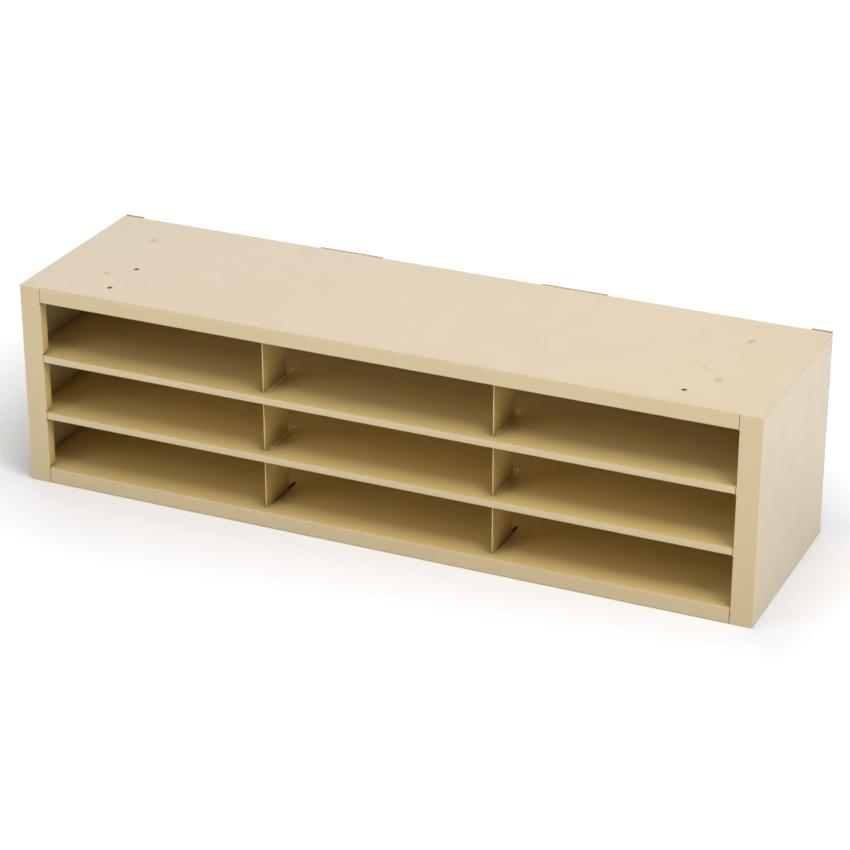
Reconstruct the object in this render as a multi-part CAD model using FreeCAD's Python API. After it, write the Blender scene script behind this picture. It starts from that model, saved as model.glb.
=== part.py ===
import FreeCAD, Part
import math
import os
from FreeCAD import Vector

# Desktop file sorter: a welded cabinet of folded sheet steel with nine
# compartments in three rows. Millimetres, +Z up, the front faces -Y, and the
# origin is the middle of the footprint on the desk.

# --- driving dimensions -------------------------------------------------------
WIDTH = 914.4                  # overall, left to right
DEPTH = 254.0                  # overall, front to back
HEIGHT = 254.0                 # overall, to the raised rear edges
SHEET = 0.9                    # cabinet sheet thickness
BEND_IN = 0.6                  # inside radius of every fold
TOP_STEP = 0.6                 # rear flanges stand this far above the top

POST = 26.5                    # width of the front corner posts
POST_RETURN = 13.2             # depth of each post's inner return
RETURN_GAP = 2.0               # return stops this far from a lip or fascia
RETURN_CUT = 2.5               # corner taken off each end of a return
RELIEF = 0.8                   # open relief at each end of a return's fold
REAR_FLANGE = 25.4             # width of the end panels' rear flanges
WELD_FLANGE = 12.7             # width of the hidden welding flanges
SEAM = 0.8                     # open seam between two butting sheets
END_GAP = 1.6                  # shelves, bottom and back stop short of the ends

BASE_TOP = 19.5                # bottom panel's upper face above the desk
LOWER_SHELF_TOP = 92.8         # lower shelf's upper face
UPPER_SHELF_TOP = 166.9        # upper shelf's upper face
LIP = 9.0                      # height of the shelves' front lips
LIP_RETURN = 8.0               # depth of the turned-in edge under a lip
TOP_FASCIA = 19.0              # height of the fascia under the top

DIVIDER_SHEET = 1.2            # divider plate thickness
DIVIDER_SETBACK = 11.0         # divider's front edge behind the front face
DIVIDER_DEPTH = 59.0           # divider plate, front to back
DIVIDER_TRAVEL = 15.0          # slides back this far to unlock
DIVIDER_TAIL = 4.0             # plate below the bottom panel
DIVIDER_CORNER = 3.0           # rounded corners of the plate
NOTCH_CLEAR = 0.3              # room above and below a sheet held in a notch
SLOT_CLEAR = 1.3               # plate stops this far from the slot's front end
SLOT_START = 23.5              # slot's front end behind the front face
SLOT_SPARE = 1.3               # slot left behind a plate that is slid right back
SLOT_WIDTH = 3.0
SLOT_SHIFT = 0.55              # plates stand near the outer sides of their slots

BACK_TAB = 83.0                # width of the back panel's two upper tabs
BACK_TAB_X = 144.7             # middle of each tab from the cabinet's middle
BACK_EDGE_DROP = 6.0           # back panel's top edge below the cabinet's top
BACK_LIFT = 0.6                # back panel's lower edge above the desk

DIMPLE_X = 382.3               # pressed dimples in the top
DIMPLE_FRONT = 73.5            # front pair, behind the front face
DIMPLE_PITCH = 115.6           # front pair to rear pair
DIMPLE_R = 7.0
DIMPLE_FLOOR_R = 1.0
DIMPLE_DEEP = 0.9
DIMPLE_PATCH = 0.8             # flat ring round a dimple that joins the sheet

HOLE_R = 3.2                   # bolt holes in the top
HOLE_PITCH_X = 711.2
HOLE_PITCH_Y = 63.5
HOLE_FRONT = 35.8              # front pair, behind the front face

PLUG_HEAD_R = 4.6              # push-in plug in the rear right hole
PLUG_HEAD_H = 0.6
PLUG_STEM_R = 2.9
PLUG_STEM_L = 4.0
PLUG_TIP_R = 2.3               # stem's lower end
PLUG_BARB_R = 3.5
PLUG_BARB_DROP = 0.3           # barb's widest ring below the sheet
PLUG_BARB_H = 1.2

# --- positions that follow from them ------------------------------------------
OUT = SHEET + BEND_IN          # outside radius of every fold
FRONT = -DEPTH / 2.0
REAR = DEPTH / 2.0
SIDE = WIDTH / 2.0
TOP = HEIGHT - TOP_STEP        # upper face of the top panel
POST_EDGE = SIDE - POST        # inner edge of the posts
INNER_X = SIDE - SHEET         # inner face of the end panels
SHEET_END = INNER_X - END_GAP  # ends of the shelves, bottom and back
LIP_END = POST_EDGE - SEAM     # ends of the lips and fascias
INNER_REAR = REAR - 2.0 * SHEET  # front face of the back panel
BEHIND_POST = FRONT + SHEET + SEAM
DIVIDER_X = POST_EDGE / 3.0    # three openings of one width
DIVIDER_BACK = DIVIDER_SETBACK + DIVIDER_DEPTH
SLOT_LENGTH = DIVIDER_BACK + DIVIDER_TRAVEL + SLOT_SPARE - SLOT_START
HOLE_REAR_Y = FRONT + HOLE_FRONT + HOLE_PITCH_Y
EPS = 1.0                      # overshoot of cutting tools
LAP = 0.5                      # overlap of regions that are joined into one
LIPS = [(UPPER_SHELF_TOP - LIP, UPPER_SHELF_TOP),
        (LOWER_SHELF_TOP - LIP, LOWER_SHELF_TOP)]


def plane_point(plane, u, v):
    """A point of a 2-D section, in the XY, YZ or XZ plane."""
    if plane == "XY":
        return Vector(u, v, 0)
    if plane == "YZ":
        return Vector(0, u, v)
    return Vector(u, 0, v)


def unit(a, b):
    """Unit direction from a to b."""
    length = math.hypot(b[0] - a[0], b[1] - a[1])
    return ((b[0] - a[0]) / length, (b[1] - a[1]) / length)


def face_line(path, side, offset, radii):
    """One face of a folded sheet, as straight runs and arcs, in order.

    path is the sheet's outer line, offset is how far this face lies to one
    side of it, and radii gives the fold radius of this face at each corner.
    """
    corners = []
    for i, p in enumerate(path):
        before = unit(path[i - 1], p) if i > 0 else None
        after = unit(p, path[i + 1]) if i < len(path) - 1 else None
        one = before or after
        shift = (-one[1] * side * offset, one[0] * side * offset)
        point = [p[0] + shift[0], p[1] + shift[1]]
        if before and after:
            other = (-after[1] * side * offset, after[0] * side * offset)
            point = [point[0] + other[0], point[1] + other[1]]
        corners.append((point, before, after))
    runs = []
    last = corners[0][0]
    for (point, before, after), radius in zip(corners[1:-1], radii):
        start = [point[0] - before[0] * radius, point[1] - before[1] * radius]
        end = [point[0] + after[0] * radius, point[1] + after[1] * radius]
        centre = [start[0] + end[0] - point[0], start[1] + end[1] - point[1]]
        reach = math.hypot(point[0] - centre[0], point[1] - centre[1])
        middle = [centre[k] + (point[k] - centre[k]) * radius / reach
                  for k in (0, 1)]
        runs.append(("line", last, start))
        runs.append(("arc", start, middle, end))
        last = end
    runs.append(("line", last, corners[-1][0]))
    return runs


def run_edge(plane, run):
    """The edge of one straight run or arc."""
    points = [plane_point(plane, *p) for p in run[1:]]
    if run[0] == "line":
        return Part.makeLine(points[0], points[1])
    return Part.Arc(points[0], points[1], points[2]).toShape()


def folded(plane, path, side, start, length, sheet=SHEET):
    """A folded sheet: path is its outer line, and side is +1 where the
    thickness lies left of the path and -1 where it lies right of it."""
    outer_radii = []
    inner_radii = []
    for a, b, c in zip(path, path[1:], path[2:]):
        one, two = unit(a, b), unit(b, c)
        turn = one[0] * two[1] - one[1] * two[0]
        inside = turn * side > 0
        outer_radii.append(BEND_IN + sheet if inside else BEND_IN)
        inner_radii.append(BEND_IN if inside else BEND_IN + sheet)
    outer = face_line(path, side, 0.0, outer_radii)
    inner = face_line(path, side, sheet, inner_radii)
    edges = [run_edge(plane, r) for r in outer + inner]
    ends = [(outer[0][1], inner[0][1]), (outer[-1][-1], inner[-1][-1])]
    for p, q in ends:
        edges.append(Part.makeLine(plane_point(plane, *p), plane_point(plane, *q)))
    wire = Part.Wire(Part.__sortEdges__(edges))
    along = {"XY": Vector(0, 0, 1), "YZ": Vector(1, 0, 0), "XZ": Vector(0, 1, 0)}[plane]
    solid = Part.Face(wire).extrude(along * length)
    solid.translate(along * start)
    return solid


def block(x0, x1, y0, y1, z0, z1):
    """A box between two corners."""
    return Part.makeBox(x1 - x0, y1 - y0, z1 - z0, Vector(x0, y0, z0))


def mirrored(solid):
    """The same shape on the other end of the cabinet."""
    return solid.mirror(Vector(0, 0, 0), Vector(1, 0, 0))


def joined(first, others):
    """One solid from several that meet."""
    return first.fuse(others).removeSplitter()


def end_flange(z, up, y0, y1):
    """A welding flange along one edge of the left end panel."""
    leg = z + up * (OUT + EPS)
    path = [(-SIDE, leg), (-SIDE, z), (-SIDE + WELD_FLANGE, z)]
    return folded("XZ", path, up, y0, y1 - y0)


def return_bands():
    """Heights between the lips and fascias, where a post's return stands."""
    edges = [BASE_TOP] + [z for lip in reversed(LIPS) for z in lip] + [TOP - TOP_FASCIA]
    return [(low + RETURN_GAP, high - RETURN_GAP)
            for low, high in zip(edges[0::2], edges[1::2])]


def flat_bands(top):
    """Heights beside the lips and fascias, where a post's edge is flat."""
    bands = return_bands()
    starts = [0.0] + [high + RELIEF for low, high in bands]
    stops = [low - RELIEF for low, high in bands] + [top]
    return list(zip(starts, stops))


def return_cutters(top):
    """Tools that take the return and its fold away between the bands."""
    inner = -POST_EDGE - OUT
    free = FRONT + POST_RETURN
    bands = return_bands()
    starts = [-EPS] + [high for low, high in bands]
    stops = [low for low, high in bands] + [top + EPS]
    tools = [block(inner, -POST_EDGE + EPS, FRONT - EPS, free + EPS, low, high)
             for low, high in zip(starts, stops)]
    for low, high in bands:
        for z, up in ((low, 1), (high, -1)):
            points = [Vector(inner, free + EPS, z - up * EPS),
                      Vector(inner, free + EPS, z + up * RETURN_CUT),
                      Vector(inner, free - RETURN_CUT, z - up * EPS)]
            face = Part.Face(Part.makePolygon(points + points[:1]))
            tools.append(face.extrude(Vector(OUT + EPS, 0, 0)))
    return tools


def left_end_panel():
    """Outer skin, front post with its return, and rear and welding flanges."""
    path = [(-POST_EDGE, FRONT + POST_RETURN), (-POST_EDGE, FRONT), (-SIDE, FRONT),
            (-SIDE, REAR), (-SIDE + REAR_FLANGE, REAR)]
    under_top = TOP - SHEET
    panel = folded("XY", path, -1, 0.0, HEIGHT)
    y0 = FRONT + OUT + EPS
    y1 = INNER_REAR - OUT - EPS
    tools = [block(-SIDE - EPS, 0, FRONT - EPS, REAR - SHEET, under_top, HEIGHT + EPS)]
    tools += return_cutters(under_top)
    for z0, z1 in ((-EPS, OUT + LAP), (under_top - OUT - LAP, under_top + EPS)):
        tools.append(block(-SIDE - EPS, -SIDE + OUT + EPS, y0, y1, z0, z1))
    panel = panel.cut(tools)
    flanges = [end_flange(0.0, 1, y0, y1), end_flange(under_top, -1, y0, y1)]
    strips = [block(-POST_EDGE - OUT, -POST_EDGE, FRONT, FRONT + SHEET, low, high)
              for low, high in flat_bands(under_top)]
    return joined(panel, flanges + strips)


def side_flange(top_z, x_end):
    """A welding flange down the left end of a shelf."""
    path = [(x_end + OUT + EPS, top_z), (x_end, top_z), (x_end, top_z - WELD_FLANGE)]
    y0 = FRONT + POST_RETURN + EPS
    y1 = INNER_REAR - OUT - EPS
    return folded("XZ", path, 1, y0, y1 - y0)


def divider_slot(x, top_z):
    """A tool for the round-ended slot that a divider passes through."""
    r = SLOT_WIDTH / 2.0
    y0 = FRONT + SLOT_START
    z0 = top_z - SHEET - EPS
    high = SHEET + 2.0 * EPS
    tool = block(x - r, x + r, y0 + r, y0 + SLOT_LENGTH - r, z0, z0 + high)
    ends = [Part.makeCylinder(r, high, Vector(x, y, z0))
            for y in (y0 + r, y0 + SLOT_LENGTH - r)]
    return tool.fuse(ends)


def shelf(top_z, front_height, front_return):
    """A shelf: front lip with a turned-in edge, full-width deck, and flanges."""
    low = top_z - front_height
    lip_path = [(FRONT + front_return, low), (FRONT, low), (FRONT, top_z),
                (INNER_REAR, top_z), (INNER_REAR, top_z - WELD_FLANGE)]
    front = folded("YZ", lip_path, -1, -LIP_END, 2.0 * LIP_END)
    deck_path = [(BEHIND_POST, top_z), (INNER_REAR, top_z),
                 (INNER_REAR, top_z - WELD_FLANGE)]
    deck = folded("YZ", deck_path, -1, -SHEET_END, 2.0 * SHEET_END)
    y0 = FRONT + POST_RETURN + EPS
    y1 = INNER_REAR - OUT - EPS
    edge = SHEET_END - OUT - LAP
    trims = [block(s * edge if s > 0 else -SHEET_END - EPS,
                   SHEET_END + EPS if s > 0 else -edge,
                   y0, y1, top_z - SHEET - EPS, top_z + EPS) for s in (-1, 1)]
    deck = deck.cut(trims)
    flange = side_flange(top_z, -SHEET_END)
    body = joined(front, [deck, flange, mirrored(flange)])
    slot_x = DIVIDER_X - SLOT_SHIFT
    return body.cut([divider_slot(x, top_z) for x in (-slot_x, slot_x)])


def dimple(x, y):
    """A round dimple pressed down into the top sheet."""
    wide = DIMPLE_R - DIMPLE_FLOOR_R
    r = (wide ** 2 + DIMPLE_DEEP ** 2) / (4.0 * DIMPLE_DEEP)
    rim = (DIMPLE_R, -r)
    foot = (DIMPLE_FLOOR_R, -DIMPLE_DEEP + r)
    sweep = math.atan2(wide / 2.0, r - DIMPLE_DEEP / 2.0)

    def arc(centre, radius, sign):
        angles = (0.0, sweep / 2.0, sweep)
        return [Vector(centre[0] - sign * radius * math.sin(a), 0,
                       centre[1] + sign * radius * math.cos(a)) for a in angles]

    edge = DIMPLE_R + DIMPLE_PATCH
    upper_rim = arc(rim, r, 1)
    upper_foot = arc(foot, r, -1)
    lower_rim = arc(rim, r - SHEET, 1)
    lower_foot = arc(foot, r + SHEET, -1)
    deep = -DIMPLE_DEEP
    edges = [
        Part.makeLine(Vector(edge, 0, 0), upper_rim[0]),
        Part.Arc(*upper_rim).toShape(),
        Part.Arc(upper_foot[2], upper_foot[1], upper_foot[0]).toShape(),
        Part.makeLine(upper_foot[0], Vector(0, 0, deep)),
        Part.makeLine(Vector(0, 0, deep), Vector(0, 0, deep - SHEET)),
        Part.makeLine(Vector(0, 0, deep - SHEET), lower_foot[0]),
        Part.Arc(*lower_foot).toShape(),
        Part.Arc(lower_rim[2], lower_rim[1], lower_rim[0]).toShape(),
        Part.makeLine(lower_rim[0], Vector(edge, 0, -SHEET)),
        Part.makeLine(Vector(edge, 0, -SHEET), Vector(edge, 0, 0)),
    ]
    face = Part.Face(Part.Wire(Part.__sortEdges__(edges)))
    solid = face.revolve(Vector(0, 0, 0), Vector(0, 0, 1), 360)
    solid.translate(Vector(x, y, TOP))
    return solid


def dimple_places():
    """Plan positions of the four dimples."""
    front = FRONT + DIMPLE_FRONT
    return [(sx * DIMPLE_X, y) for sx in (-1, 1) for y in (front, front + DIMPLE_PITCH)]


def hole_places():
    """Plan positions of the four bolt holes."""
    front = FRONT + HOLE_FRONT
    return [(sx * HOLE_PITCH_X / 2.0, y) for sx in (-1, 1)
            for y in (front, front + HOLE_PITCH_Y)]


def top_panel():
    """Top sheet with its fascia between the posts, rear flange and dimples."""
    low = TOP - TOP_FASCIA
    path = [(FRONT + LIP_RETURN, low), (FRONT, low), (FRONT, TOP),
            (INNER_REAR, TOP), (INNER_REAR, TOP - WELD_FLANGE)]
    front = folded("YZ", path, -1, -LIP_END, 2.0 * LIP_END)
    ends = [block(s * LIP_END - (0 if s > 0 else SIDE - LIP_END),
                  s * LIP_END + (SIDE - LIP_END if s > 0 else 0),
                  FRONT, INNER_REAR - OUT, TOP - SHEET, TOP) for s in (-1, 1)]
    rear_path = [(0.0, TOP), (INNER_REAR, TOP), (INNER_REAR, TOP - WELD_FLANGE)]
    rear = folded("YZ", rear_path, -1, -SHEET_END, 2.0 * SHEET_END)
    sheet = joined(front, ends + [rear])
    edge = DIMPLE_R + DIMPLE_PATCH / 2.0
    tools = [Part.makeCylinder(edge, SHEET + 2 * EPS, Vector(x, y, TOP - SHEET - EPS))
             for x, y in dimple_places()]
    sheet = joined(sheet.cut(tools), [dimple(x, y) for x, y in dimple_places()])
    holes = [Part.makeCylinder(HOLE_R, SHEET + 2 * EPS, Vector(x, y, TOP - SHEET - EPS))
             for x, y in hole_places()]
    return sheet.cut(holes)


def back_panel():
    """Flat back with two tabs that stand up behind the top's rear edge."""
    upper = HEIGHT - BACK_EDGE_DROP
    plate = block(-SHEET_END, SHEET_END, INNER_REAR, INNER_REAR + SHEET, BACK_LIFT, upper)
    tabs = [block(x - BACK_TAB / 2.0, x + BACK_TAB / 2.0, INNER_REAR, INNER_REAR + SHEET,
                  upper - EPS, HEIGHT) for x in (-BACK_TAB_X, BACK_TAB_X)]
    return joined(plate, tabs)


def left_divider():
    """One plate through all three rows, notched where it grips each sheet."""
    y0 = FRONT + DIVIDER_SETBACK
    y1 = y0 + DIVIDER_DEPTH
    low = BASE_TOP - SHEET - DIVIDER_TAIL
    high = TOP - SHEET - NOTCH_CLEAR
    x0 = -DIVIDER_X - DIVIDER_SHEET / 2.0
    plate = block(x0, x0 + DIVIDER_SHEET, y0, y1, low, high)
    corners = [e for e in plate.Edges
               if abs(e.Vertexes[0].X - e.Vertexes[1].X) > DIVIDER_SHEET / 2.0]
    plate = plate.makeFillet(DIVIDER_CORNER, corners)
    notch_end = FRONT + SLOT_START + SLOT_CLEAR
    tools = [block(x0 - EPS, x0 + DIVIDER_SHEET + EPS, y0 - EPS, notch_end,
                   z - SHEET - NOTCH_CLEAR, z + NOTCH_CLEAR)
             for z in (BASE_TOP, LOWER_SHELF_TOP, UPPER_SHELF_TOP)]
    return plate.cut(tools)


def hole_plug():
    """Domed push-in plug in the rear right hole."""
    r = (PLUG_HEAD_R ** 2 + PLUG_HEAD_H ** 2) / (2.0 * PLUG_HEAD_H)
    half = math.asin(PLUG_HEAD_R / r) / 2.0
    centre = PLUG_HEAD_H - r
    under = -SHEET
    dome = Part.Arc(Vector(0, 0, PLUG_HEAD_H),
                    Vector(r * math.sin(half), 0, centre + r * math.cos(half)),
                    Vector(PLUG_HEAD_R, 0, 0)).toShape()
    points = [Vector(PLUG_HEAD_R, 0, 0), Vector(PLUG_STEM_R, 0, 0),
              Vector(PLUG_STEM_R, 0, under), Vector(PLUG_BARB_R, 0, under - PLUG_BARB_DROP),
              Vector(PLUG_STEM_R, 0, under - PLUG_BARB_H),
              Vector(PLUG_TIP_R, 0, -PLUG_STEM_L), Vector(0, 0, -PLUG_STEM_L),
              Vector(0, 0, PLUG_HEAD_H)]
    edges = [dome] + [Part.makeLine(a, b) for a, b in zip(points, points[1:])]
    face = Part.Face(Part.Wire(Part.__sortEdges__(edges)))
    plug = face.revolve(Vector(0, 0, 0), Vector(0, 0, 1), 360)
    plug.translate(Vector(HOLE_PITCH_X / 2.0, HOLE_REAR_Y, TOP))
    return plug


def main():
    os.makedirs("parts", exist_ok=True)
    left_end = left_end_panel()
    left_plate = left_divider()
    parts = {
        "left_end_panel": left_end,
        "right_end_panel": mirrored(left_end),
        "top_panel": top_panel(),
        "bottom_panel": shelf(BASE_TOP, BASE_TOP, WELD_FLANGE),
        "lower_shelf": shelf(LOWER_SHELF_TOP, LIP, LIP_RETURN),
        "upper_shelf": shelf(UPPER_SHELF_TOP, LIP, LIP_RETURN),
        "back_panel": back_panel(),
        "left_divider": left_plate,
        "right_divider": mirrored(left_plate),
        "hole_plug": hole_plug(),
    }
    for name, solid in parts.items():
        if not solid.isValid() or len(solid.Solids) != 1:
            raise ValueError("%s is not one valid solid" % name)
        solid.exportStep("parts/%s.step" % name)


main()
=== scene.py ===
import math

import bmesh
import bpy
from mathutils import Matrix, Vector

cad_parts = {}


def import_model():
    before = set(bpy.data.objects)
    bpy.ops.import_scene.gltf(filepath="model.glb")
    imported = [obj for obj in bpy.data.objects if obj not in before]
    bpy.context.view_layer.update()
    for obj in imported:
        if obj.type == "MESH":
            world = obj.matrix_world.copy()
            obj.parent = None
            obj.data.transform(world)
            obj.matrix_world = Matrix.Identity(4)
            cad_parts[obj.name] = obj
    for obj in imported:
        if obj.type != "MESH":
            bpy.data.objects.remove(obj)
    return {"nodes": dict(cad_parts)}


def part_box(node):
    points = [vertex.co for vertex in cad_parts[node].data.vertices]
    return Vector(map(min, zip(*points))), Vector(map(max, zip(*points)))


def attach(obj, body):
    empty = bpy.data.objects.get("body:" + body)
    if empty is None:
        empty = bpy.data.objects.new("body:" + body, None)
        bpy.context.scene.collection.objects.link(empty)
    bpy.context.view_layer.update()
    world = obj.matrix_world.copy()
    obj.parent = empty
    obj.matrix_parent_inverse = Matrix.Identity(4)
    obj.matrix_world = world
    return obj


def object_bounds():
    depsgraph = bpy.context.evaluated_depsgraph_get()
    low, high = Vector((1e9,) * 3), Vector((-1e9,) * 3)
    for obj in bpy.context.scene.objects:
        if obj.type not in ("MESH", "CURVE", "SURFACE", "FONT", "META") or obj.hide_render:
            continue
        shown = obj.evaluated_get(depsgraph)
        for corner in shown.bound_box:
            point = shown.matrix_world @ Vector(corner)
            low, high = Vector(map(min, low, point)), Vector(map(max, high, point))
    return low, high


# Looks of the desktop file sorter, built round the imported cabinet. Metres, +Z
# up, the front faces -Y, and the origin is the middle of the footprint.

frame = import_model()
cad_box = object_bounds()

NODES = frame["nodes"]
HALF_WIDTH = cad_box[1].x
HALF_DEPTH = cad_box[1].y
HEIGHT = cad_box[1].z

# --- colours (linear) ------------------------------------------------------------
ENAMEL = (0.612, 0.490, 0.262)
ENAMEL_DEEP = (0.592, 0.465, 0.243)
# brighter, warmer copy of the enamel for the faces within the compartments: painted bounce light
INNER_BOUNCE_TONE = (0.765, 0.585, 0.234)
INNER_BOUNCE_TONE_DEEP = (0.738, 0.555, 0.216)
PLATE = (0.64, 0.46, 0.158)
PLATE_DEEP = (0.61, 0.43, 0.14)
# lighter tone along bends and cut edges: partly rubbing, partly painted highlight
ENAMEL_RUBBING_HIGHLIGHT = (0.72, 0.58, 0.30)
# painted shade: the colour that corners, creases and the feet of the plates darken towards
CORNER_SHADE_TONE = (0.22, 0.13, 0.045)
PLUG_TONE = (0.70, 0.58, 0.34)
# pale bead round the upper slots: rubbing plus a painted highlight
RIM_HIGHLIGHT_TONE = (0.90, 0.84, 0.68)
RIM_HIGHLIGHT_TONE_DEEP = (0.84, 0.76, 0.58)
SHADOW_RIM_TONE = (0.030, 0.020, 0.011)  # painted shadow round the lowest slots, which open onto the dark below
SHADOW_RIM_TONE_DEEP = (0.016, 0.011, 0.007)
FLOOR_TONE = (0.93, 0.94, 0.925)
FLOOR_FLECK = 0.98               # darkest flecks of the floor against its tone
UNDER_TONE = (0.012, 0.010, 0.008)  # unlit floor that shows through the slots
WHITE = (1.0, 1.0, 1.0)

# --- enamel ------------------------------------------------------------------------
# Scales are features per metre. A range reads: noise from, noise to, share from, share to.
INSIDE_FROM = 0.0015             # depth below the outer faces where the tone changes
INSIDE_TO = 0.0025
MOTTLE_SCALE = 5.0
MOTTLE_RANGE = (0.35, 0.65, 0.0, 0.45)
FLECK_SCALE = 140.0
FLECK_RANGE = (0.55, 0.80, 0.0, 0.22)
EDGE_REACH = 0.0012              # rubbing and painted highlight show this far from a bend or a cut edge
EDGE_SAMPLES = 4
FLAT_DOT = 0.995                 # cosine of true to rounded normal on flat sheet
BENT_DOT = 0.80                  # and where an edge counts in full
CHIP_SCALE = 60.0
CHIP_FROM, CHIP_TO = 0.35, 0.70
LEAST_EDGE_LIGHTENING = 0.25
CORNER_SHADE_REACH = 0.028              # corners this close get painted shade
CORNER_SHADE_SAMPLES = 6
CORNER_OPENNESS = 0.45           # openness at which the painted shade is at its most
FREE_OPENNESS = 0.95             # and at which there is none
CORNER_SHADE_MOST = 0.62
NO_CORNER_SHADE = 0.0                    # the rims of the upper slots get no painted shade, so their painted highlight stays bright
GLOSS_SCALE = 35.0
GLOSS_FROM, GLOSS_TO = 0.3, 0.7
SMOOTHER, ROUGHER = 0.04, 0.05   # how far the roughness wanders down and up
PEEL_SCALE = 700.0               # orange peel
PEEL_STRENGTH, PEEL_HEIGHT = 0.12, 0.0003
SAG_SCALE = 9.0                  # slow waves of the sheet
SAG_STRENGTH, SAG_HEIGHT = 0.07, 0.003
ENAMEL_IOR = 1.5
COAT_WEIGHT = 0.7
COAT_ROUGHNESS = 0.22
SHEET_ROUGHNESS, SHEET_EDGE_LIGHTENING = 0.36, 0.8
PLATE_ROUGHNESS, PLATE_EDGE_LIGHTENING = 0.38, 1.0
RIM_ROUGHNESS, RIM_EDGE_LIGHTENING = 0.30, 1.0
SHADOW_RIM_ROUGHNESS = 0.55

# --- moulded plastic of the plug -----------------------------------------------------
SPARK_SCALE = 900.0
SPARK_RANGE = (0.4, 0.7, 0.0, 0.5)
SPARK_ROUGHNESS = (0.3, 0.7, 0.42, 0.55)
SPARK_STRENGTH, SPARK_HEIGHT = 0.2, 0.0002

# --- rounded cut edges of the CAD nodes -------------------------------------------------
MERGE_DISTANCE = 0.000002
EDGE_ROUND = 0.00012
EDGE_SEGMENTS = 2
EDGE_ANGLE = 50.0                # only edges sharper than this, in degrees, are rounded

# --- spot-weld marks on the back ---------------------------------------------------
DECKS = ("bottom_panel", "lower_shelf", "upper_shelf", "top_panel")
WELD_DROP = 0.009                # row of marks below a deck's upper face
WELD_REACH = 0.400               # last mark of a row from the cabinet's middle
WELDS_IN_ROW = 9
WELD_RADIUS = 0.0030
WELD_PROUD = 0.00025             # height of the ridge round a mark
WELD_FOOT = 0.2                  # share of that height at the mark's edge and middle
WELD_STEPS = 6                   # rings from a mark's edge to its middle
WELD_SIDES = 28
SUNK = 0.00005                   # skirt of a mark or a bead below the sheet's face

# --- beads round the divider slots -----------------------------------------------------
PLATE_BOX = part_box("right_divider")
SLOT_SHIFT = 0.00055             # plates stand near the outer sides of their slots
SLOT_START = 0.0235              # a slot's front end behind the cabinet's front
SLOT_SPARE = 0.0013              # slot left behind a plate that is slid right back
DIVIDER_TRAVEL = 0.015
SLOT_HALF = 0.0015               # half a slot's width
SLOT_MIDDLE = (PLATE_BOX[0].x + PLATE_BOX[1].x) / 2.0 - SLOT_SHIFT
SLOT_FRONT = SLOT_START - HALF_DEPTH
SLOT_REAR = PLATE_BOX[1].y + DIVIDER_TRAVEL + SLOT_SPARE
RIM_WIDTH = 0.0009               # width of the enamel bead round a slot
RIM_PROUD = 0.00018
RIM_STEPS = 5                    # points across the bead
RIM_TURNS = 12                   # points round each end of a slot

# --- camera ------------------------------------------------------------------------
CAMERA_PLACE = (1.2329, -2.7363, 1.5056)
CAMERA_AZIMUTH = 24.109
CAMERA_ELEVATION = 25.026
CAMERA_LENS = 119.39
SENSOR = 36.0
CLIP_NEAR = 0.1

# --- lights ------------------------------------------------------------------------
AIM = (0.0, 0.0, 0.12)
LAMP_TONE = (0.945, 0.930, 0.975)
COOL_LAMP_TONE = (0.84, 0.95, 1.30)
LAMP_DISTANCE = 3.0
KEY_SIZE = (0.8, 0.7)
# name, azimuth and elevation in degrees, watts, size; the keys make one soft source
LAMPS = (
    ("key", 58, 52, 17.0, KEY_SIZE),
    ("key_right", 76, 42, 10.3, KEY_SIZE),
    ("key_left", 30, 60, 16.5, KEY_SIZE),
    ("key_low", 60, 32, 5.5, KEY_SIZE),
    ("key_high", 70, 65, 10.5, KEY_SIZE),
    ("fill_low", -40, 10, 9.8, (1.8, 0.9)),
    ("fill_high", -30, 38, 13.0, (1.4, 0.9)),
)
OVERHEAD_DISTANCE = 2.6
SKY_TONE = (1.0, 0.99, 0.98)
SKY_STRENGTH = 0.12

# --- floor -------------------------------------------------------------------------
FLOOR_REACH = 90.0
FLOOR_CELLS = 8
FLOOR_DROP = 0.0003              # floor below the cabinet's lower edges
FLOOR_ROUGHNESS = 0.7
FLOOR_SCALE = 1.5
UNDER_EDGE = 0.02                # width of the change from dark to pale floor
GLOW_EDGE = 0.25                 # the floor's own light sets in over this distance
FLOOR_GLOW = 0.30
GLOW_FAR = 2.4                   # and is at its full strength here
FLOOR_GLOW_FAR = 0.62


def direction(azimuth, elevation):
    """Unit vector towards an azimuth and elevation, both in degrees."""
    a, e = math.radians(azimuth), math.radians(elevation)
    return Vector((math.sin(a) * math.cos(e), -math.cos(a) * math.cos(e), math.sin(e)))


def face_from(obj, azimuth, elevation):
    """Turns a camera or lamp to look back from that side, without roll."""
    back = direction(azimuth, elevation)
    obj.rotation_mode = "QUATERNION"
    obj.rotation_quaternion = (-back).to_track_quat("-Z", "Y")


# --- node helpers ------------------------------------------------------------------
def new_material(name):
    """A node material, its tree and its shader."""
    material = bpy.data.materials.new(name)
    material.use_nodes = True
    tree = material.node_tree
    return material, tree, tree.nodes["Principled BSDF"]


def node(tree, kind, inputs=None, **settings):
    """A node with its settings, and its inputs set or linked by name or number."""
    made = tree.nodes.new(kind)
    for key, value in settings.items():
        setattr(made, key, value)
    for key, value in (inputs or {}).items():
        if isinstance(value, bpy.types.NodeSocket):
            tree.links.new(value, made.inputs[key])
        else:
            made.inputs[key].default_value = value
    return made


def object_place(tree):
    """The point being shaded, in the piece's own coordinates."""
    return node(tree, "ShaderNodeTexCoord").outputs["Object"]


def noise(tree, place, scale, detail=3.0, roughness=0.5):
    """Noise at a number of features per metre."""
    return node(tree, "ShaderNodeTexNoise", {
        "Vector": place, "Scale": scale, "Detail": detail, "Roughness": roughness,
    }).outputs["Fac"]


def remap(tree, value, low, high, to_low, to_high):
    """A value moved from one range to another, clamped."""
    return node(tree, "ShaderNodeMapRange", {
        0: value, 1: low, 2: high, 3: to_low, 4: to_high,
    }).outputs[0]


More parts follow.
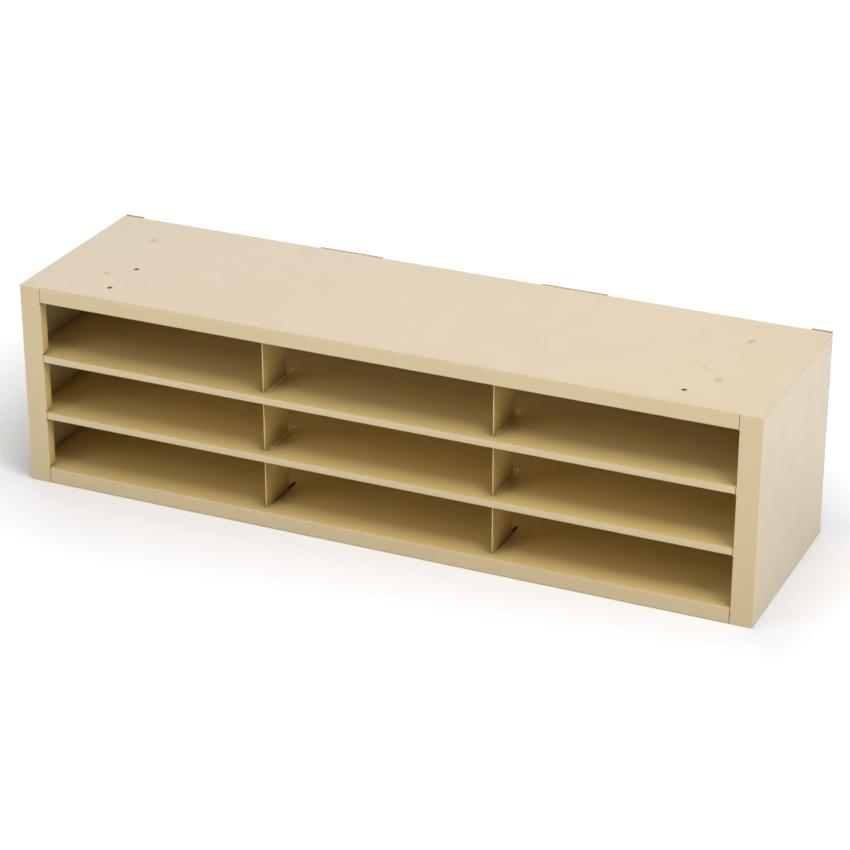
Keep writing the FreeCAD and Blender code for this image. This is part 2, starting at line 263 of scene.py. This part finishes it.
def mix(tree, share, a, b):
    """Colour a blended towards colour b."""
    made = node(tree, "ShaderNodeMix", data_type="RGBA")
    tree.links.new(share, made.inputs["Factor"])
    for key, value in ((6, a), (7, b)):
        if isinstance(value, bpy.types.NodeSocket):
            tree.links.new(value, made.inputs[key])
        else:
            made.inputs[key].default_value = (*value, 1.0)
    return made.outputs[2]


def math_node(tree, operation, a, b=0.0):
    """One arithmetic step."""
    return node(tree, "ShaderNodeMath", {0: a, 1: b}, operation=operation).outputs[0]


def bump(tree, height, strength, distance, normal=None):
    """A normal tilted by a height, on top of another bump where one is given."""
    inputs = {"Height": height, "Strength": strength, "Distance": distance}
    if normal:
        inputs["Normal"] = normal
    return node(tree, "ShaderNodeBump", inputs).outputs["Normal"]


def edge_mask(tree, radius):
    """About 0 on flat sheet and rising to 1 along bends and cut edges."""
    bevel = node(tree, "ShaderNodeBevel", {"Radius": radius}, samples=EDGE_SAMPLES)
    geometry = node(tree, "ShaderNodeNewGeometry")
    dot = node(tree, "ShaderNodeVectorMath",
               {0: bevel.outputs["Normal"], 1: geometry.outputs["True Normal"]},
               operation="DOT_PRODUCT").outputs["Value"]
    return remap(tree, dot, FLAT_DOT, BENT_DOT, 0.0, 1.0)


def corner_shade_share(tree, most):
    """How much painted shade falls at a point: most in tight corners, none in the open."""
    openness = node(tree, "ShaderNodeAmbientOcclusion", {"Distance": CORNER_SHADE_REACH},
                    samples=CORNER_SHADE_SAMPLES)
    return remap(tree, openness.outputs["AO"], CORNER_OPENNESS, FREE_OPENNESS, most, 0.0)


def inside_share(tree, place):
    """0 on the cabinet's outer faces and 1 within its compartments."""
    parts = node(tree, "ShaderNodeSeparateXYZ", {0: place}).outputs
    from_end = math_node(tree, "SUBTRACT", HALF_WIDTH, math_node(tree, "ABSOLUTE", parts["X"]))
    from_front = math_node(tree, "SUBTRACT", HALF_DEPTH, math_node(tree, "ABSOLUTE", parts["Y"]))
    from_top = math_node(tree, "SUBTRACT", HEIGHT, parts["Z"])
    least = math_node(tree, "MINIMUM", math_node(tree, "MINIMUM", from_end, from_front), from_top)
    return remap(tree, least, INSIDE_FROM, INSIDE_TO, 0.0, 1.0)


# --- materials ---------------------------------------------------------------------
def enamel(name, base, deep, edge_tone, roughness, edge_lightening, inner=None, corner_shade=CORNER_SHADE_MOST):
    """Baked enamel on sheet steel: faint mottle, orange peel, edges lightened by rubbing and a
    painted highlight.

    inner gives brighter, warmer copies of the tones for the faces within the compartments, painted
    bounce light, and the last argument the strength of the painted shade in corners. With inner,
    the outer faces have none.
    """
    material, tree, shader = new_material(name)
    place = object_place(tree)
    corner_shading = corner_shade_share(tree, corner_shade)
    # within the compartments the tone turns brighter and warmer, painted bounce light, and only
    # there does painted shade gather
    if inner:
        share = inside_share(tree, place)
        base = mix(tree, share, base, inner[0])
        deep = mix(tree, share, deep, inner[1])
        corner_shading = math_node(tree, "MULTIPLY", corner_shading, share)
    mottle = remap(tree, noise(tree, place, MOTTLE_SCALE, 2.0), *MOTTLE_RANGE)
    fleck = remap(tree, noise(tree, place, FLECK_SCALE, 4.0, 0.6), *FLECK_RANGE)
    tone = mix(tree, fleck, mix(tree, mottle, base, deep), deep)
    chips = noise(tree, place, CHIP_SCALE, 5.0, 0.7)
    # edges lighter from rubbing and a painted highlight along the bends
    edge_lightened = math_node(tree, "MULTIPLY", edge_mask(tree, EDGE_REACH),
                       remap(tree, chips, CHIP_FROM, CHIP_TO, LEAST_EDGE_LIGHTENING, edge_lightening))
    tone = mix(tree, edge_lightened, tone, edge_tone)
    # painted shade darkens the tone in corners and creases
    tone = mix(tree, corner_shading, tone, CORNER_SHADE_TONE)
    tree.links.new(tone, shader.inputs["Base Color"])
    gloss = noise(tree, place, GLOSS_SCALE, 4.0)
    rough = remap(tree, gloss, GLOSS_FROM, GLOSS_TO, roughness - SMOOTHER, roughness + ROUGHER)
    tree.links.new(rough, shader.inputs["Roughness"])
    sag = bump(tree, noise(tree, place, SAG_SCALE, 1.0), SAG_STRENGTH, SAG_HEIGHT)
    peel = bump(tree, noise(tree, place, PEEL_SCALE, 2.0), PEEL_STRENGTH, PEEL_HEIGHT, sag)
    tree.links.new(peel, shader.inputs["Normal"])
    shader.inputs["IOR"].default_value = ENAMEL_IOR
    shader.inputs["Coat Weight"].default_value = COAT_WEIGHT
    shader.inputs["Coat Roughness"].default_value = COAT_ROUGHNESS
    return material


def moulded(name, base, deep):
    """Matte moulded plastic with a fine spark texture."""
    material, tree, shader = new_material(name)
    fine = noise(tree, object_place(tree), SPARK_SCALE)
    tone = mix(tree, remap(tree, fine, *SPARK_RANGE), base, deep)
    tree.links.new(tone, shader.inputs["Base Color"])
    tree.links.new(remap(tree, fine, *SPARK_ROUGHNESS), shader.inputs["Roughness"])
    tree.links.new(bump(tree, fine, SPARK_STRENGTH, SPARK_HEIGHT), shader.inputs["Normal"])
    return material


def paint(obj, material):
    """Puts one material on every slot of an object."""
    if not obj.material_slots:
        obj.data.materials.append(material)
    for slot in obj.material_slots:
        slot.material = material


# --- pieces ------------------------------------------------------------------------
def soften(obj):
    """Rounds a CAD node's cut edges a little and smooths its shading."""
    obj.modifiers.new("weld", "WELD").merge_threshold = MERGE_DISTANCE
    bevel = obj.modifiers.new("edges", "BEVEL")
    bevel.width = EDGE_ROUND
    bevel.segments = EDGE_SEGMENTS
    bevel.limit_method = "ANGLE"
    bevel.angle_limit = math.radians(EDGE_ANGLE)
    bevel.harden_normals = False
    for face in obj.data.polygons:
        face.use_smooth = True
    obj.modifiers.new("normals", "WEIGHTED_NORMAL").keep_sharp = True


def add_detail(name, bm, material):
    """An extra enamelled piece that belongs to the cabinet."""
    bmesh.ops.recalc_face_normals(bm, faces=bm.faces)
    mesh = bpy.data.meshes.new(name)
    bm.to_mesh(mesh)
    bm.free()
    for polygon in mesh.polygons:
        polygon.use_smooth = len(polygon.vertices) == 4
    obj = bpy.data.objects.new(name, mesh)
    bpy.context.scene.collection.objects.link(obj)
    paint(obj, material)
    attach(obj, "cabinet")


def join_loops(bm, outer, inner):
    """A band of four-sided faces between two closed loops of points."""
    for k in range(len(outer)):
        bm.faces.new((outer[k - 1], outer[k], inner[k], inner[k - 1]))


def weld_profile():
    """Radius and height of a mark's rings, from its skirt to its dished middle."""
    rings = [(WELD_RADIUS, -SUNK)]
    for step in range(WELD_STEPS):
        share = step / WELD_STEPS
        swell = WELD_FOOT + (1.0 - WELD_FOOT) * math.sin(math.pi * share)
        rings.append((WELD_RADIUS * (1.0 - share), WELD_PROUD * swell))
    return rings


def weld_mark(bm, x, y, z):
    """A low round ridge with a dished middle, facing the rear."""
    turns = [2.0 * math.pi * k / WELD_SIDES for k in range(WELD_SIDES)]
    loops = [[bm.verts.new((x + r * math.sin(t), y + h, z + r * math.cos(t))) for t in turns]
             for r, h in weld_profile()]
    for outer, inner in zip(loops, loops[1:]):
        join_loops(bm, outer, inner)
    bm.faces.new(loops[0][::-1])
    bm.faces.new(loops[-1])


def weld_marks(material):
    """Rows of spot-weld marks where the back meets the decks' and top's flanges."""
    bm = bmesh.new()
    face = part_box("back_panel")[1].y
    for deck in DECKS:
        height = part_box(deck)[1].z - WELD_DROP
        for k in range(WELDS_IN_ROW):
            x = WELD_REACH * (2.0 * k / (WELDS_IN_ROW - 1) - 1.0)
            weld_mark(bm, x, face, height)
    add_detail("spot_weld_marks", bm, material)


def slot_outline(middle, reach):
    """A round-ended loop, reach beyond a slot's edge, as points in plan."""
    radius = SLOT_HALF + reach
    points = []
    for y, start in ((SLOT_REAR - SLOT_HALF, 0.0), (SLOT_FRONT + SLOT_HALF, math.pi)):
        for k in range(RIM_TURNS + 1):
            turn = start + math.pi * k / RIM_TURNS
            points.append((middle + radius * math.cos(turn), y + radius * math.sin(turn)))
    return points


def slot_rim(bm, middle, height):
    """A low rounded bead of enamel round one slot, closed below by its skirt."""
    shares = [step / RIM_STEPS for step in range(RIM_STEPS + 1)]
    profile = [(RIM_WIDTH * share, RIM_PROUD * math.sin(math.pi * share)) for share in shares]
    profile += [(RIM_WIDTH, -SUNK), (0.0, -SUNK)]
    loops = [[bm.verts.new((x, y, height + lift)) for x, y in slot_outline(middle, reach)]
             for reach, lift in profile]
    for one, two in zip(loops, loops[1:] + loops[:1]):
        join_loops(bm, one, two)


def slot_rims(name, decks, material):
    """The beads round the two divider slots of each deck given."""
    bm = bmesh.new()
    for deck in decks:
        for middle in (-SLOT_MIDDLE, SLOT_MIDDLE):
            slot_rim(bm, middle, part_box(deck)[1].z)
    add_detail(name, bm, material)


def finish_nodes():
    """Gives every CAD node its enamel or plastic, and adds the small details."""
    outer = enamel("sand_enamel", ENAMEL, ENAMEL_DEEP, ENAMEL_RUBBING_HIGHLIGHT, SHEET_ROUGHNESS, SHEET_EDGE_LIGHTENING,
                   (INNER_BOUNCE_TONE, INNER_BOUNCE_TONE_DEEP))
    plate = enamel("divider_enamel", PLATE, PLATE_DEEP, ENAMEL_RUBBING_HIGHLIGHT, PLATE_ROUGHNESS, PLATE_EDGE_LIGHTENING)
    plug = moulded("plug_plastic", PLUG_TONE, ENAMEL_DEEP)
    for name, obj in NODES.items():
        material = outer
        if "divider" in name:
            material = plate
        if name == "hole_plug":
            material = plug
        paint(obj, material)
        soften(obj)
    weld_marks(outer)
    # the beads round the upper slots carry a pale painted highlight, those round the lowest a
    # near-black painted shadow
    highlit_rim = enamel("rubbing_highlight_rim", RIM_HIGHLIGHT_TONE, RIM_HIGHLIGHT_TONE_DEEP, RIM_HIGHLIGHT_TONE, RIM_ROUGHNESS, RIM_EDGE_LIGHTENING,
                  corner_shade=NO_CORNER_SHADE)
    shadow_rim = enamel("painted_shadow_rim", SHADOW_RIM_TONE, SHADOW_RIM_TONE_DEEP, SHADOW_RIM_TONE,
                   SHADOW_RIM_ROUGHNESS, RIM_EDGE_LIGHTENING)
    slot_rims("slot_rims", DECKS[1:3], highlit_rim)
    slot_rims("base_slot_shadow_rims", DECKS[:1], shadow_rim)


# --- studio ------------------------------------------------------------------------
def area_light(name, azimuth, elevation, power, size, distance=LAMP_DISTANCE, tone=LAMP_TONE):
    """A soft rectangular light that faces the object."""
    data = bpy.data.lights.new(name, "AREA")
    data.shape = "RECTANGLE"
    data.size, data.size_y = size
    data.energy = power
    data.color = tone
    lamp = bpy.data.objects.new(name, data)
    lamp.location = Vector(AIM) + direction(azimuth, elevation) * distance
    face_from(lamp, azimuth, elevation)
    bpy.context.scene.collection.objects.link(lamp)


def studio_lights():
    """Soft key from the right, front fill, top light, cool end light and glow behind."""
    for lamp in LAMPS:
        area_light(*lamp)
    area_light("overhead", 0, 86, 14.5, (1.4, 1.0), distance=OVERHEAD_DISTANCE)
    area_light("end", 85, 18, 5.2, (1.2, 0.7), tone=COOL_LAMP_TONE)
    area_light("behind", -150, 25, 18.3, (3.0, 1.2))


def world():
    """Even pale surroundings."""
    made = bpy.data.worlds.new("studio")
    bpy.context.scene.world = made
    made.use_nodes = True
    sky = made.node_tree.nodes["Background"]
    sky.inputs["Color"].default_value = (*SKY_TONE, 1.0)
    sky.inputs["Strength"].default_value = SKY_STRENGTH


def floor_material():
    """Pale floor, dark right under the cabinet and faintly glowing away from it."""
    material, tree, shader = new_material("pale_floor")
    place = object_place(tree)
    shader.inputs["Roughness"].default_value = FLOOR_ROUGHNESS
    shader.inputs["Emission Color"].default_value = (*WHITE, 1.0)
    parts = node(tree, "ShaderNodeSeparateXYZ", {0: place}).outputs
    past_end = math_node(tree, "SUBTRACT", math_node(tree, "ABSOLUTE", parts["X"]), HALF_WIDTH)
    past_front = math_node(tree, "SUBTRACT", math_node(tree, "ABSOLUTE", parts["Y"]), HALF_DEPTH)
    away = math_node(tree, "MAXIMUM", past_end, past_front)
    flecked = tuple(FLOOR_FLECK * c for c in FLOOR_TONE)
    pale = mix(tree, noise(tree, place, FLOOR_SCALE), FLOOR_TONE, flecked)
    tone = mix(tree, remap(tree, away, -UNDER_EDGE, 0.0, 0.0, 1.0), UNDER_TONE, pale)
    tree.links.new(tone, shader.inputs["Base Color"])
    near_glow = remap(tree, away, 0.0, GLOW_EDGE, 0.0, FLOOR_GLOW)
    far_glow = remap(tree, away, GLOW_EDGE, GLOW_FAR, 0.0, FLOOR_GLOW_FAR - FLOOR_GLOW)
    glow = math_node(tree, "ADD", near_glow, far_glow)
    tree.links.new(glow, shader.inputs["Emission Strength"])
    return material


def floor():
    """A plain pale floor, wide enough for every view."""
    mesh = bpy.data.meshes.new("floor")
    bm = bmesh.new()
    bmesh.ops.create_grid(bm, x_segments=FLOOR_CELLS, y_segments=FLOOR_CELLS, size=FLOOR_REACH)
    bm.to_mesh(mesh)
    bm.free()
    obj = bpy.data.objects.new("floor", mesh)
    obj.location = (0.0, 0.0, -FLOOR_DROP)
    bpy.context.scene.collection.objects.link(obj)
    obj.data.materials.append(floor_material())


def camera():
    """The camera, looking down at the front and right end, without shift or roll."""
    data = bpy.data.cameras.new("camera")
    data.lens = CAMERA_LENS
    data.sensor_width = SENSOR
    data.clip_start, data.clip_end = CLIP_NEAR, 2.0 * FLOOR_REACH
    obj = bpy.data.objects.new("camera", data)
    obj.location = CAMERA_PLACE
    face_from(obj, CAMERA_AZIMUTH, CAMERA_ELEVATION)
    bpy.context.scene.collection.objects.link(obj)
    bpy.context.scene.camera = obj


camera()
world()
studio_lights()
floor()
finish_nodes()
bpy.context.scene.view_settings.view_transform = "Standard"
